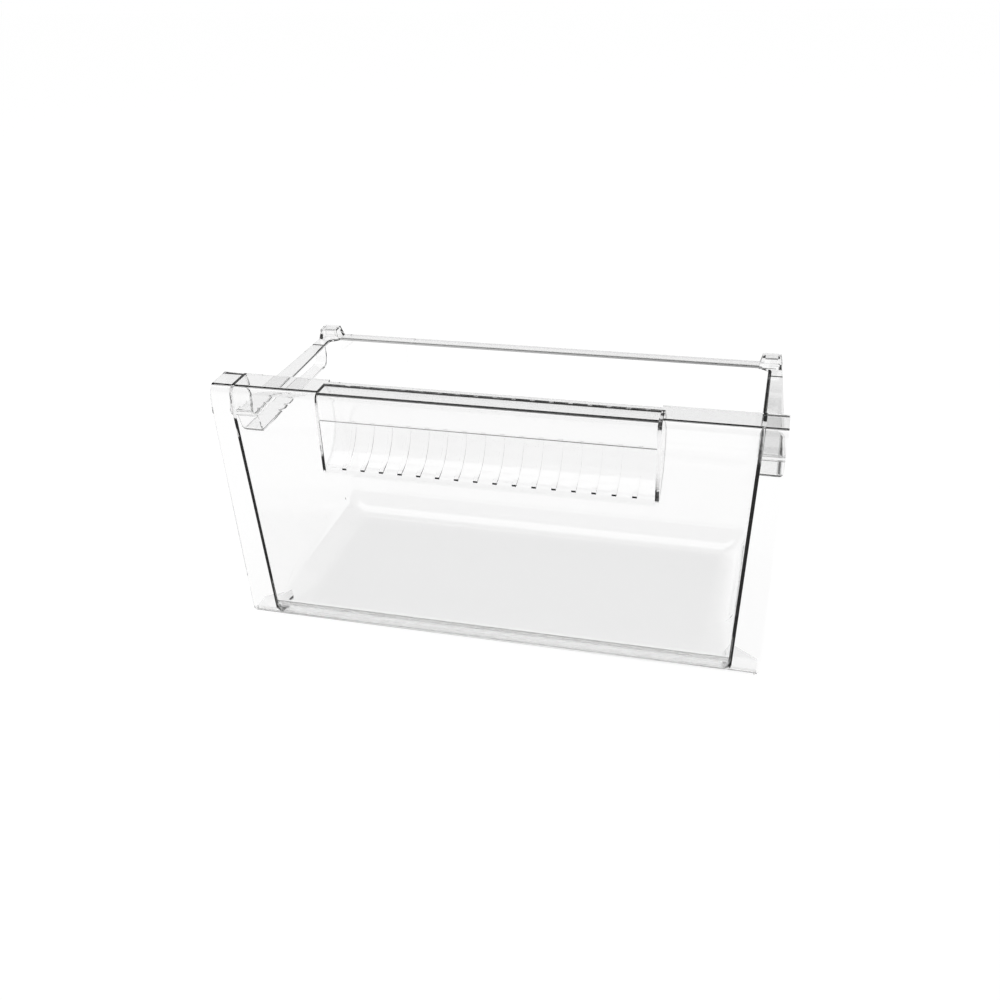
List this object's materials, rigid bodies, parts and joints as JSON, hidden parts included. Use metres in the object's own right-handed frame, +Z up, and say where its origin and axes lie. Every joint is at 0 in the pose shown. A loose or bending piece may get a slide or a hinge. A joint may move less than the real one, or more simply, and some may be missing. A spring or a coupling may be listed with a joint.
{
  "type": "freezer drawer",
  "caption": "Clear plastic freezer drawer: deep open basket with a taller, wider front, a recessed grip under its top edge, a rim flange and side runners.",
  "frame": {"origin": "middle of the drawer's length and width, on the surface that the flat underside of its floor stands on", "axes": "+X to the right of someone facing the front, +Y from the front to the back, +Z up"},
  "size_m": [0.446, 0.212, 0.2172],
  "materials": {
    "clear_plastic": "clear polished"
  },
  "bodies": {
    "root": {"front_panel": "clear_plastic", "basket": "clear_plastic", "rim": "clear_plastic", "runner_right": "clear_plastic", "runner_left": "clear_plastic", "rear_stop_right": "clear_plastic", "rear_stop_left": "clear_plastic", "wing_web_right": "clear_plastic", "wing_web_left": "clear_plastic", "wing_back_right": "clear_plastic", "wing_back_left": "clear_plastic", "grip_lip": "clear_plastic", "grip_recess": "clear_plastic", "grip_end_right": "clear_plastic", "grip_end_left": "clear_plastic"}
  },
  "joints": []
}
